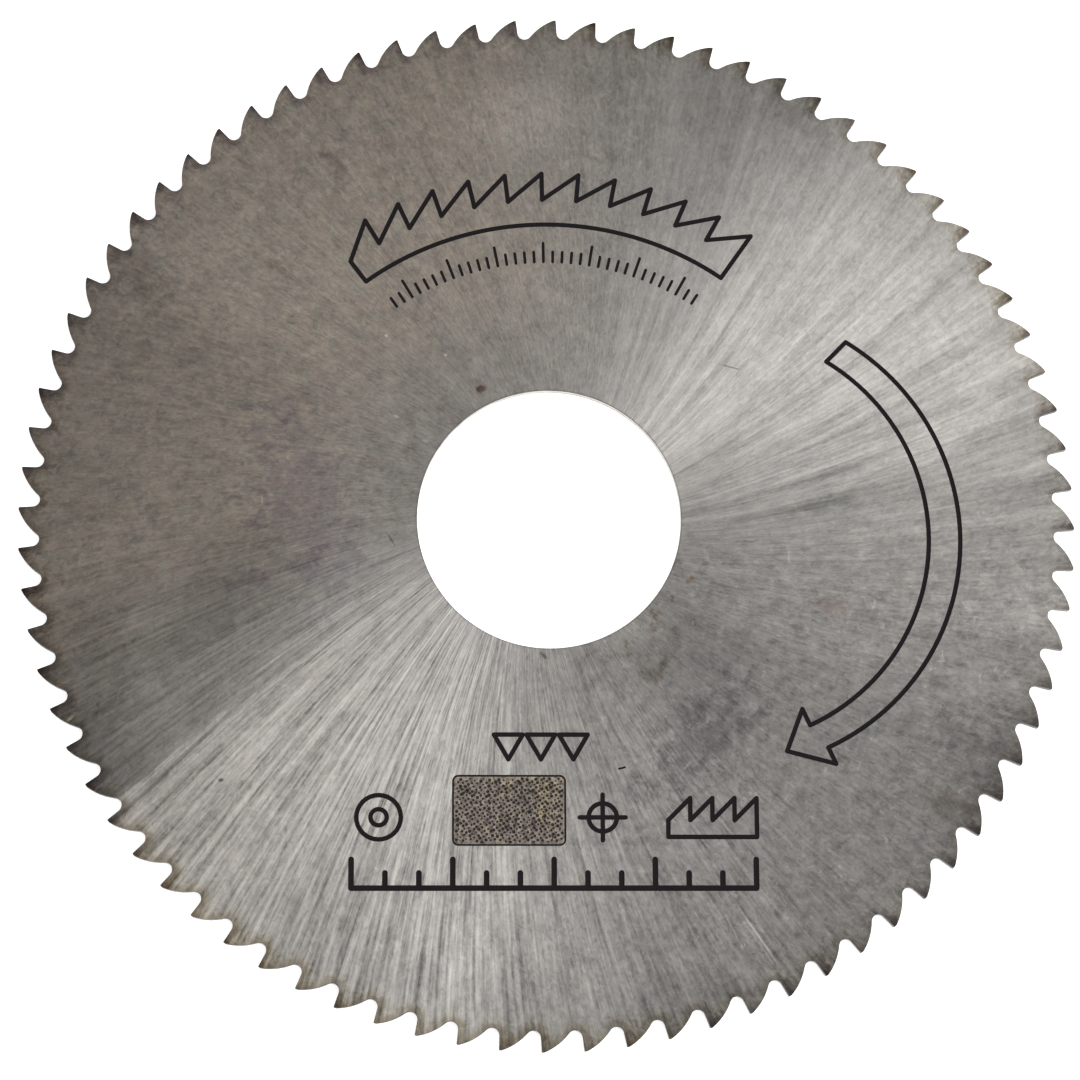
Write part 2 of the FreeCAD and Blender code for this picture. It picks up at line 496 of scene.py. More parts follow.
@dataclass(frozen=True)
class ToothShape:
    """The outline from one cutting edge clockwise to the next: its corners and the centres of its arcs."""

    cutting_edge: Vector
    face_end: Vector
    gullet_centre: Vector
    gullet_end: Vector
    back_centre: Vector
    heel: Vector
    next_edge: Vector

    def points(self) -> dict[str, Vector]:
        """Names the points that the outline is drawn through.

        Returns:
            The points by their names, in their order along the outline.
        """
        return {
            "Cutting Edge": self.cutting_edge,
            "Face End": self.face_end,
            "Gullet Middle": arc_middle(self.face_end, self.gullet_end, self.gullet_centre),
            "Gullet End": self.gullet_end,
            "Back Middle": arc_middle(self.gullet_end, self.heel, self.back_centre),
            "Heel": self.heel,
            "Land Middle": arc_middle(self.heel, self.next_edge, Vector()),
            "Next Cutting Edge": self.next_edge,
        }


@dataclass
class ToothedDisc:
    """The plain disc: its teeth, its bore and the fine break of its edges."""

    outer_diameter: float = 32.0
    bore_diameter: float = 8.0
    thickness: float = 0.3
    tooth_count: int = 80
    tooth_depth: float = 0.63
    gullet_radius: float = 0.22
    rake_angle: float = -4.0
    relief_angle: float = 22.5
    tip_land: float = 0.07
    first_tooth_angle: float = 3.5
    edge_break: float = 0.012
    gullet_points: int = 12
    back_points: int = 10
    land_points: int = 3
    bore_points: int = 240

    def tooth(self) -> ToothShape:
        """Works out the outline of the first tooth.

        Returns:
            Its corners and the centres of its arcs.
        """
        tip_radius = self.outer_diameter / 2
        tip_angle = self.first_tooth_angle
        next_angle = tip_angle - FULL_TURN / self.tooth_count
        heel_angle = next_angle + math.degrees(self.tip_land / tip_radius)
        cutting_edge = polar(tip_radius, tip_angle)
        heel = polar(tip_radius, heel_angle)

        down_face = polar(-1, tip_angle - self.rake_angle)
        off_face = polar(1, tip_angle - self.rake_angle - FULL_TURN / 4)
        centre_radius = tip_radius - self.tooth_depth + self.gullet_radius
        start = cutting_edge + off_face * self.gullet_radius
        along = start.dot(down_face)
        slide = -along - math.sqrt(along**2 - start.dot(start) + centre_radius**2)
        gullet_centre = start + down_face * slide
        face_end = cutting_edge + down_face * slide

        into_tooth = polar(-1, heel_angle + self.relief_angle)
        reach = heel - gullet_centre
        slack = self.gullet_radius - into_tooth.dot(reach)
        back_radius = (reach.dot(reach) - self.gullet_radius**2) / (2 * slack)
        back_centre = heel + into_tooth * back_radius
        joint = gullet_centre + (back_centre - gullet_centre).normalized() * self.gullet_radius
        next_edge = polar(tip_radius, next_angle)
        return ToothShape(cutting_edge, face_end, gullet_centre, joint, back_centre, heel, next_edge)

    def tree(self) -> GeometryGraph:
        """Makes the disc from one tooth's outline, in millimetres.

        Returns:
            The group that does it.
        """
        g = GeometryGraph("Toothed Disc")
        thickness = g.size("Thickness", self.thickness)
        edge_break = g.size("Edge Break", self.edge_break)
        rim = self.rim(g)
        bore_points = g.size("Bore Points", self.bore_points)
        outline = g.join(rim, g.circle(bore_points, g.size("Bore Radius", self.bore_diameter / 2)))
        into_metal = g.vector("CROSS_PRODUCT", g.add("GeometryNodeInputTangent"), tuple(UP))
        outline = g.stored(outline, "into_metal", into_metal, data_type="FLOAT_VECTOR", domain="POINT")
        inset = g.scaled(g.attribute("into_metal", "FLOAT_VECTOR"), edge_break)

        wall = g.add("GeometryNodeCurveToMesh", {"Curve": outline})
        top: Inputs = {}
        for rise in (edge_break, thickness - edge_break * 2, edge_break):
            inputs = {"Mesh": wall, "Offset": g.combined(Z=rise), "Offset Scale": 1.0, **top}
            wall = g.add("GeometryNodeExtrudeMesh", inputs, mode="EDGES")
            top = {"Selection": wall.also("Top")}
        from_middle = (g.part(g.position(), "Z") - thickness / 2).math("ABSOLUTE")
        at_face = from_middle.math("GREATER_THAN", thickness / 2 - edge_break / 2)
        wall = g.moved(wall, Selection=at_face, Offset=inset)

        sheet = g.filled(g.moved(outline, Offset=inset), "TRIANGLES")
        upper = g.placed(sheet, Translation=g.combined(Z=thickness))
        solid = g.merged(g.join(wall, upper, g.flipped(sheet)), self.edge_break / 10)
        g.give(g.marked(solid, Zone.GROUND))
        return g

    def rim(self, g: GeometryGraph) -> Value:
        """Repeats one tooth's outline round the axis.

        Args:
            g: The group that the rim is drawn in.

        Returns:
            The rim as a closed curve.
        """
        point = {name: g.size(name, place) for name, place in self.tooth().points().items()}
        face = {"Start": point["Cutting Edge"], "End": point["Face End"]}
        parts = [g.add("GeometryNodeCurvePrimitiveLine", face, mode="POINTS")]
        arcs = (
            ("Face End", "Gullet Middle", "Gullet End", g.size("Gullet Points", self.gullet_points)),
            ("Gullet End", "Back Middle", "Heel", g.size("Back Points", self.back_points)),
            ("Heel", "Land Middle", "Next Cutting Edge", g.size("Land Points", self.land_points)),
        )
        for start, middle, end, count in arcs:
            inputs = {"Resolution": count, "Start": point[start], "Middle": point[middle], "End": point[end]}
            parts.append(g.add("GeometryNodeCurveArc", inputs, mode="POINTS"))
        tooth = g.add("GeometryNodeCurveToPoints", {"Curve": g.join(*parts)}, mode="EVALUATED")

        count = g.size("Teeth", self.tooth_count)
        turn = g.combined(Z=g.add("GeometryNodeInputIndex") * -math.tau / count)
        teeth = g.repeated(g.add("GeometryNodePoints", {"Count": count}), tooth, Rotation=turn)
        teeth = g.merged(teeth, self.tip_land / 20)
        x = g.part(g.position(), "X")
        clockwise = x.math("ARCTAN2", x.also("Y"))
        rim = g.add("GeometryNodePointsToCurves", {"Points": teeth, "Weight": clockwise})
        return g.add("GeometryNodeSetSplineCyclic", {"Geometry": rim, "Cyclic": True})


@dataclass
class TurningArrow:
    """The outlined arrow that shows which way the saw turns. Its shaft is widest halfway along."""

    centre: Vector = Vector((5.22, -0.48, 0))
    radius: float = 6.8
    shaft_width: float = 0.74
    swell: float = 0.22
    tail_angle: float = 57.8
    head_angle: float = -65.3
    barb: float = 0.54
    head_length: float = 1.07

    def draw(self, pen: PenRoutes) -> None:
        """Draws the arrow.

        Args:
            pen: The routes that it is added to.
        """
        across_head = polar(1, self.head_angle)
        notches = []
        barbs = []
        tails = []
        for side in (-1, 1):
            centre = self.centre + Vector((side * self.swell / 2, 0, 0))
            radius = self.radius + side * self.shaft_width / 2
            pen.arc(centre, radius, self.head_angle, self.tail_angle, Pen.MARK)
            notches.append(polar(radius, self.head_angle, centre))
            barbs.append(notches[-1] + across_head * side * self.barb)
            tails.append(polar(radius, self.tail_angle, centre))
        tip = (barbs[0] + barbs[1]) / 2 + polar(self.head_length, self.head_angle - FULL_TURN / 4)
        pen.corners(tails, Pen.MARK)
        pen.corners([notches[0], barbs[0], tip, barbs[1], notches[1]], Pen.MARK)


@dataclass
class ToothBand:
    """The arc of outlined saw teeth above the bore, and the arc of ticks under it."""

    middle_angle: float = 91.0
    half_angle: float = 36.0
    inner_radius: float = 9.3
    body: float = 0.8
    tooth_height: float = 0.85
    teeth: int = 12
    tick_drop: float = 1.2
    tick_length: float = 0.32
    long_tick_length: float = 0.6
    tick_step: float = 2.0
    ticks_each_side: int = 17
    ticks_per_long_tick: int = 5

    def draw(self, pen: PenRoutes) -> None:
        """Draws the band and its ticks.

        Args:
            pen: The routes that they are added to.
        """
        start = self.middle_angle - self.half_angle
        end = self.middle_angle + self.half_angle
        step = (end - start) / self.teeth
        root_radius = self.inner_radius + self.body
        tip_radius = root_radius + self.tooth_height
        corners = [polar(self.inner_radius, start), polar(root_radius, start)]
        for index in range(self.teeth):
            corners.append(polar(tip_radius, start + index * step))
            corners.append(polar(root_radius, start + (index + 1) * step))
        corners.append(polar(self.inner_radius, end))
        pen.corners(corners, Pen.MARK)
        pen.arc(Vector(), self.inner_radius, start, end, Pen.MARK)
        foot_radius = self.inner_radius - self.tick_drop
        for index in range(-self.ticks_each_side, self.ticks_each_side + 1):
            length = self.tick_length if index % self.ticks_per_long_tick else self.long_tick_length
            angle = self.middle_angle + index * self.tick_step
            pen.corners([polar(foot_radius, angle), polar(foot_radius + length, angle)], Pen.FINE)


@dataclass
class TriangleRow:
    """The row of small outlined triangles under the bore, points down."""

    count: int = 3
    side: float = 0.86
    pitch: float = 0.97
    middle_x: float = -0.28
    top_y: float = -6.62

    def draw(self, pen: PenRoutes) -> None:
        """Draws the triangles.

        Args:
            pen: The routes that they are added to.
        """
        half = Vector((self.side / 2, 0, 0))
        down = Vector((0, -self.side * math.sqrt(3) / 2, 0))
        for index in range(self.count):
            middle_x = self.middle_x + (index - (self.count - 1) / 2) * self.pitch
            middle = Vector((middle_x, self.top_y, 0))
            pen.corners([middle - half, middle + down, middle + half], Pen.MARK, closed=True)


@dataclass
class SymbolRow:
    """The row in line with the patch: a disc, a crossed bore and a run of teeth."""

    row_y: float = -9.1
    disc_x: float = -5.1
    disc_radius: float = 0.66
    disc_bore_radius: float = 0.24
    bore_x: float = 1.55
    bore_radius: float = 0.42
    bore_cross: float = 0.68
    teeth_start_x: float = 3.5
    teeth_pitch: float = 0.66
    teeth_height: float = 0.66
    teeth_body: float = 0.5
    teeth_count: int = 4

    def draw(self, pen: PenRoutes) -> None:
        """Draws the three symbols.

        Args:
            pen: The routes that they are added to.
        """
        disc = Vector((self.disc_x, self.row_y, 0))
        bore = Vector((self.bore_x, self.row_y, 0))
        pen.ring(disc, self.disc_radius, Pen.MARK)
        pen.ring(disc, self.disc_bore_radius, Pen.MARK)
        pen.ring(bore, self.bore_radius, Pen.MARK)
        for angle in (0, FULL_TURN / 4):
            reach = polar(self.bore_cross, angle)
            pen.corners([bore - reach, bore + reach], Pen.MARK)

        base = self.row_y - (self.teeth_body + self.teeth_height) / 2
        root = base + self.teeth_body
        edges = [self.teeth_start_x + index * self.teeth_pitch for index in range(self.teeth_count + 1)]
        corners = [Vector((edges[0], base, 0)), Vector((edges[-1], base, 0))]
        for left, right in zip(edges[-2::-1], edges[::-1]):
            corners += [Vector((right, root + self.teeth_height, 0)), Vector((left, root, 0))]
        pen.corners(corners, Pen.MARK, closed=True)


@dataclass
class StraightScale:
    """The straight scale at the bottom."""

    middle_x: float = 0.1
    base_y: float = -11.2
    step: float = 1.0
    steps_each_side: int = 6
    tick: float = 0.45
    long_tick: float = 0.85
    steps_per_long_tick: int = 3

    def draw(self, pen: PenRoutes) -> None:
        """Draws the scale's line and ticks.

        Args:
            pen: The routes that they are added to.
        """
        middle = Vector((self.middle_x, self.base_y, 0))
        reach = Vector((self.steps_each_side * self.step, 0, 0))
        pen.corners([middle - reach, middle + reach], Pen.HEAVY)
        for index in range(-self.steps_each_side, self.steps_each_side + 1):
            height = self.tick if index % self.steps_per_long_tick else self.long_tick
            foot = middle + Vector((index * self.step, 0, 0))
            pen.corners([foot, foot + Vector((0, height, 0))], Pen.HEAVY)


@dataclass
class BurntPatch:
    """The rounded patch below the bore: a shallow recess with a thin outline and rows of burnt dots."""

    width: float = 3.33
    height: float = 2.06
    corner_radius: float = 0.16
    centre: Vector = Vector((-1.23, -8.89, 0))
    depth: float = 0.01
    dot_pitch: float = 0.118
    dot_radius: float = 0.044
    dot_depth: float = 0.012
    smallest_dot: float = 0.7
    largest_dot: float = 1.3
    dot_row_angle: float = 33.0
    dot_wander: float = 0.022
    dot_segments: int = 8
    dot_rings: int = 4
    corner_steps: int = 6
    seed: int = 7

    def draw(self, pen: PenRoutes) -> None:
        """Draws the patch's outline.

        Args:
            pen: The routes that it is added to.
        """
        across = self.width / 2 - self.corner_radius
        up = self.height / 2 - self.corner_radius
        points = []
        for index, (x, y) in enumerate(((across, up), (-across, up), (-across, -up), (across, -up))):
            corner = self.centre + Vector((x, y, 0))
            for step in range(self.corner_steps + 1):
                angle = FULL_TURN / 4 * (index + step / self.corner_steps)
                points.append(polar(self.corner_radius, angle, corner))
        pen.loop(points, Pen.HAIR)

    def cutters(self, g: GeometryGraph) -> Value:
        """Makes what is cut from the marked side for the patch.

        Args:
            g: The group that it is made in, where the marked side is at height 0.

        Returns:
            The recess's block and the dots.
        """
        depth = g.size("Patch Depth", self.depth)
        floor = g.vector("SUBTRACT", g.size("Patch Centre", self.centre), g.combined(Z=depth))
        parts = g.join(self.recess(g, depth), self.dots(g))
        return g.marked(g.placed(parts, Translation=floor), Zone.PATCH)

    def recess(self, g: GeometryGraph, depth: Value) -> Value:
        """Makes the block that sinks the patch.

        Args:
            g: The group that it is made in.
            depth: How deep the patch is sunk.

        Returns:
            The block, which stands on height 0 and is twice as high as the patch is deep.
        """
        size = {"Width": g.size("Patch Width", self.width), "Height": g.size("Patch Height", self.height)}
        sheet = g.add("GeometryNodeCurvePrimitiveQuadrilateral", size, mode="RECTANGLE")
        corner = {"Radius": g.size("Patch Corner", self.corner_radius), "Count": self.corner_steps - 1}
        sheet = g.add("GeometryNodeFilletCurve", {"Curve": sheet, **corner}, mode="POLY")
        sheet = g.filled(sheet, "NGONS")
        rise = {"Offset": tuple(UP), "Offset Scale": depth * 2, "Individual": False}
        block = g.add("GeometryNodeExtrudeMesh", {"Mesh": sheet, **rise}, mode="FACES")
        return g.merged(g.join(block, g.flipped(sheet)), self.depth / 10)

    def dots(self, g: GeometryGraph) -> Value:
        """Makes the small pits in slanting rows, inside the patch's outline.

        Args:
            g: The group that they are made in.

        Returns:
            The pits, with their middles at height 0.
        """
        rows = 2 * round(math.hypot(self.width, self.height) / self.dot_pitch / 2) + 1
        count = g.size("Dot Rows", rows)
        reach = g.size("Dot Reach", (rows - 1) * self.dot_pitch)
        inputs = {"Size X": reach, "Size Y": reach, "Vertices X": count, "Vertices Y": count}
        grid = g.add("GeometryNodeMeshGrid", inputs)
        grid = g.placed(grid, Rotation=Euler((0, 0, math.radians(self.dot_row_angle))))
        far = Vector((self.dot_wander, self.dot_wander, 0))
        inputs = {"Min": -far, "Max": far, "Seed": self.seed}
        wander = g.add("FunctionNodeRandomValue", inputs, "Value", data_type="FLOAT_VECTOR")
        grid = g.moved(grid, Offset=wander)
        x = g.part(g.position(), "X")
        margin = self.corner_radius / 2
        past_side = x.math("ABSOLUTE").math("GREATER_THAN", self.width / 2 - margin)
        past_top = x.also("Y").math("ABSOLUTE").math("GREATER_THAN", self.height / 2 - margin)
        inputs = {"Geometry": grid, "Selection": past_side.math("MAXIMUM", past_top)}
        grid = g.add("GeometryNodeDeleteGeometry", inputs, domain="POINT")
        inputs = {"Min_001": self.smallest_dot, "Max_001": self.largest_dot, "Seed": self.seed}
        size = g.add("FunctionNodeRandomValue", inputs, "Value_001", data_type="FLOAT")
        inputs = {"Segments": self.dot_segments, "Rings": self.dot_rings, "Radius": 1.0}
        pit = g.add("GeometryNodeMeshUVSphere", inputs)
        pit = g.placed(pit, Scale=(self.dot_radius, self.dot_radius, self.dot_depth))
        return g.repeated(grid, pit, Scale=size)


@dataclass
class Nick:
    """The small dark dent beside the triangles."""

    start: Vector = Vector((2.05, -7.645, 0))
    end: Vector = Vector((2.22, -7.6, 0))

    def draw(self, pen: PenRoutes) -> None:
        """Draws the dent as one line of the pen's routes."""
        pen.corners([self.start, self.end], Pen.HAIR)


@dataclass
class EngravedSaw:
    """The whole saw: the toothed disc with its marks cut into the marked side."""

    finishes: dict[Zone, bpy.types.Material]
    disc: ToothedDisc
    patch: BurntPatch
    mark_depth: float = 0.02
    groove_sides: int = 12

    def routes(self) -> PenRoutes:
        """Draws every line of the engraving.

        Returns:
            The pen's routes.
        """
        pen = PenRoutes()
        symbols = (TriangleRow(), SymbolRow(), StraightScale())
        for mark in (TurningArrow(), ToothBand(), *symbols, self.patch, Nick()):
            mark.draw(pen)
        return pen

    def cutters(self) -> GeometryGraph:
        """Turns the pen's routes into what is cut from the marked side.

        Returns:
            The group that does it, where the marked side is at height 0.
        """
        g = GeometryGraph("Marks")
        route = g.add("GeometryNodeMeshToCurve", {"Mesh": g.taken("Geometry")})
        route = g.add("GeometryNodeSetCurveNormal", {"Curve": route}, mode="Z_UP")
        radius = g.attribute(RADIUS_ATTRIBUTE)
        width = radius * g.attribute(TAPER_ATTRIBUTE)
        section = g.circle(g.size("Groove Sides", self.groove_sides), 1.0)
        inputs = {"Curve": route, "Profile Curve": section, "Scale": width, "Fill Caps": True}
        grooves = g.add("GeometryNodeCurveToMesh", inputs)
        squeeze = g.combined(X=1.0, Y=1.0, Z=g.size("Mark Depth", self.mark_depth) / radius)
        grooves = g.moved(grooves, Position=g.vector("MULTIPLY", g.position(), squeeze))
        g.give(g.join(g.marked(grooves, Zone.ENGRAVED), self.patch.cutters(g)))
        return g

    def tree(self) -> GeometryGraph:
        """Makes the saw in metres from the pen's routes.

        Returns:
            The tree that does it.
        """
        g = GeometryGraph("Engraved Saw")
        disc = self.disc.tree().inside(g)
        cutters = self.cutters().inside(g, g.taken("Geometry"))
        cutters = g.placed(cutters, Translation=g.combined(Z=g.taken("Thickness")))
        inputs = {"Geometry": cutters, "Group ID": g.add("GeometryNodeInputMeshIsland")}
        cutters = g.add("GeometryNodeSplitToInstances", inputs, domain="FACE")
        inputs = {"Mesh 1": disc, "Mesh 2": [cutters]}
        saw = g.add("GeometryNodeMeshBoolean", inputs, operation="DIFFERENCE", solver="MANIFOLD")
        saw = g.add("GeometryNodeRealizeInstances", {0: g.placed(saw, Scale=(MM, MM, MM))})
        for zone, finish in self.finishes.items():
            inputs = {"Geometry": saw, "Material": g.size(f"{zone.name.title()} Finish", finish)}
            if zone is not Zone.GROUND:
                pair = {"A_INT": g.attribute(ZONE_ATTRIBUTE, "INT"), "B_INT": zone.value}
                chosen = g.add("FunctionNodeCompare", pair, data_type="INT", operation="EQUAL")
                inputs["Selection"] = chosen
            saw = g.add("GeometryNodeSetMaterial", inputs)
        g.give(saw)
        return g

    def build(self) -> bpy.types.Object:
        """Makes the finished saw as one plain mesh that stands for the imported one.

        Returns:
            The piece.
        """
        routes = self.routes().piece("pen_routes")
        mesh = self.tree().put_on(routes)
        bpy.data.objects.remove(routes)
        # The routes, which have no material, leave an empty slot in front of the finishes.
        mesh.materials.pop(index=0)
        for name in [attribute.name for attribute in mesh.attributes if not attribute.is_required]:
            if name not in ("material_index", "sharp_face"):
                mesh.attributes.remove(mesh.attributes[name])
        piece = in_scene("ground_saw_blade", mesh)
        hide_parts(SAW_NODE)
        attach(piece, "root")
        log.info("%s: %d faces", piece.name, len(mesh.polygons))
        return piece


class Finish:
    """A finish of one surface shader. Each kind has its own name and works out its own surface."""

    name: str

    def surface(self, g: Graph) -> Inputs:
        """Returns what goes into the surface shader."""
        raise NotImplementedError

    def material(self) -> bpy.types.Material:
        """Makes the finish.

        Returns:
            The material.
        """
        material = bpy.data.materials.new(self.name)
        material.use_nodes = True
        material.node_tree.nodes.clear()
        g = Graph(material.node_tree)
        shader = g.add("ShaderNodeBsdfPrincipled", self.surface(g))
        g.add("ShaderNodeOutputMaterial", {"Surface": shader})
        return material


@dataclass(frozen=True)
class GroundFace:
    """A place on the ground face, in millimetres, and what lies there in nearly radial strokes."""

    g: Graph
    flat: Value
    around: Value
    radius: Value
    height: Value

    def within(self, sector: Sector) -> Value:
        """Masks the strokes of a sector.

        Args:
            sector: The sector.

        Returns:
            The mask.
        """
        middle, full, fade = sector
        closeness = self.g.vector("DOT_PRODUCT", self.around, tuple(polar(1, middle)))
        return closeness.over(math.cos(math.radians(fade)), math.cos(math.radians(full)))

    def strokes(self, count: float, length: float, curl: float = 0.0) -> Value:
        """Makes a noise of mean 0 that is drawn out along the strokes.

        Args:
            count: How many strokes lie in each radian.
            length: How long a stroke is, in millimetres.
            curl: How far the strokes are bent into feathery flecks.

        Returns:
            The noise.
        """
        along = self.g.combined(Z=self.radius / (length * count) + self.height)
        place = self.g.vector("ADD", self.around, along)
        return self.g.noise(place, scale=count, detail=2, roughness=0.6, curl=curl) - 0.5


@dataclass(frozen=True)
class PaintedFan:
    """Painted light over a sector, which grows from none at one radius to full at another."""

    sector: Sector
    first_radius: float
    second_radius: float
    # Above 0 a painted highlight, below 0 painted shade.
    change: float

    def strength(self, face: GroundFace) -> Value:
        """Returns how much painted light it adds to a place on the face."""
        growth = face.radius.over(self.first_radius, self.second_radius)
        return face.within(self.sector) * (growth * self.change)


@dataclass(frozen=True)
class Grain:
    """How strongly each kind of mark shows in the ground face."""

    fine: float
    short: float
    wide: float
    mottle: float
    flecks: float
    speckle: float


@dataclass(frozen=True)
class Blemish:
    """A scratch, speck, stain or broad lighter or darker patch: a slim oval with soft edges that tints what is
    under it.
    """

    STRETCH = 1.1

    start: tuple[float, float]
    end: tuple[float, float]
    half_width: float
    tint: Colour

    def measured(self, face: GroundFace) -> Value:
        """Measures a place on the face from the oval's middle.

        Args:
            face: The place.

        Returns:
            The distance, which is 1 at the oval's edge.
        """
        start = Vector((*self.start, 0))
        line = Vector((*self.end, 0)) - start
        oval = {
            "Vector": face.flat,
            "Location": start + line / 2,
            "Rotation": (0.0, 0.0, math.atan2(line.y, line.x)),
            "Scale": (line.length / 2 * self.STRETCH + self.half_width, self.half_width, 1.0),
        }
        return face.g.vector("LENGTH", face.g.add("ShaderNodeMapping", oval, vector_type="TEXTURE"))


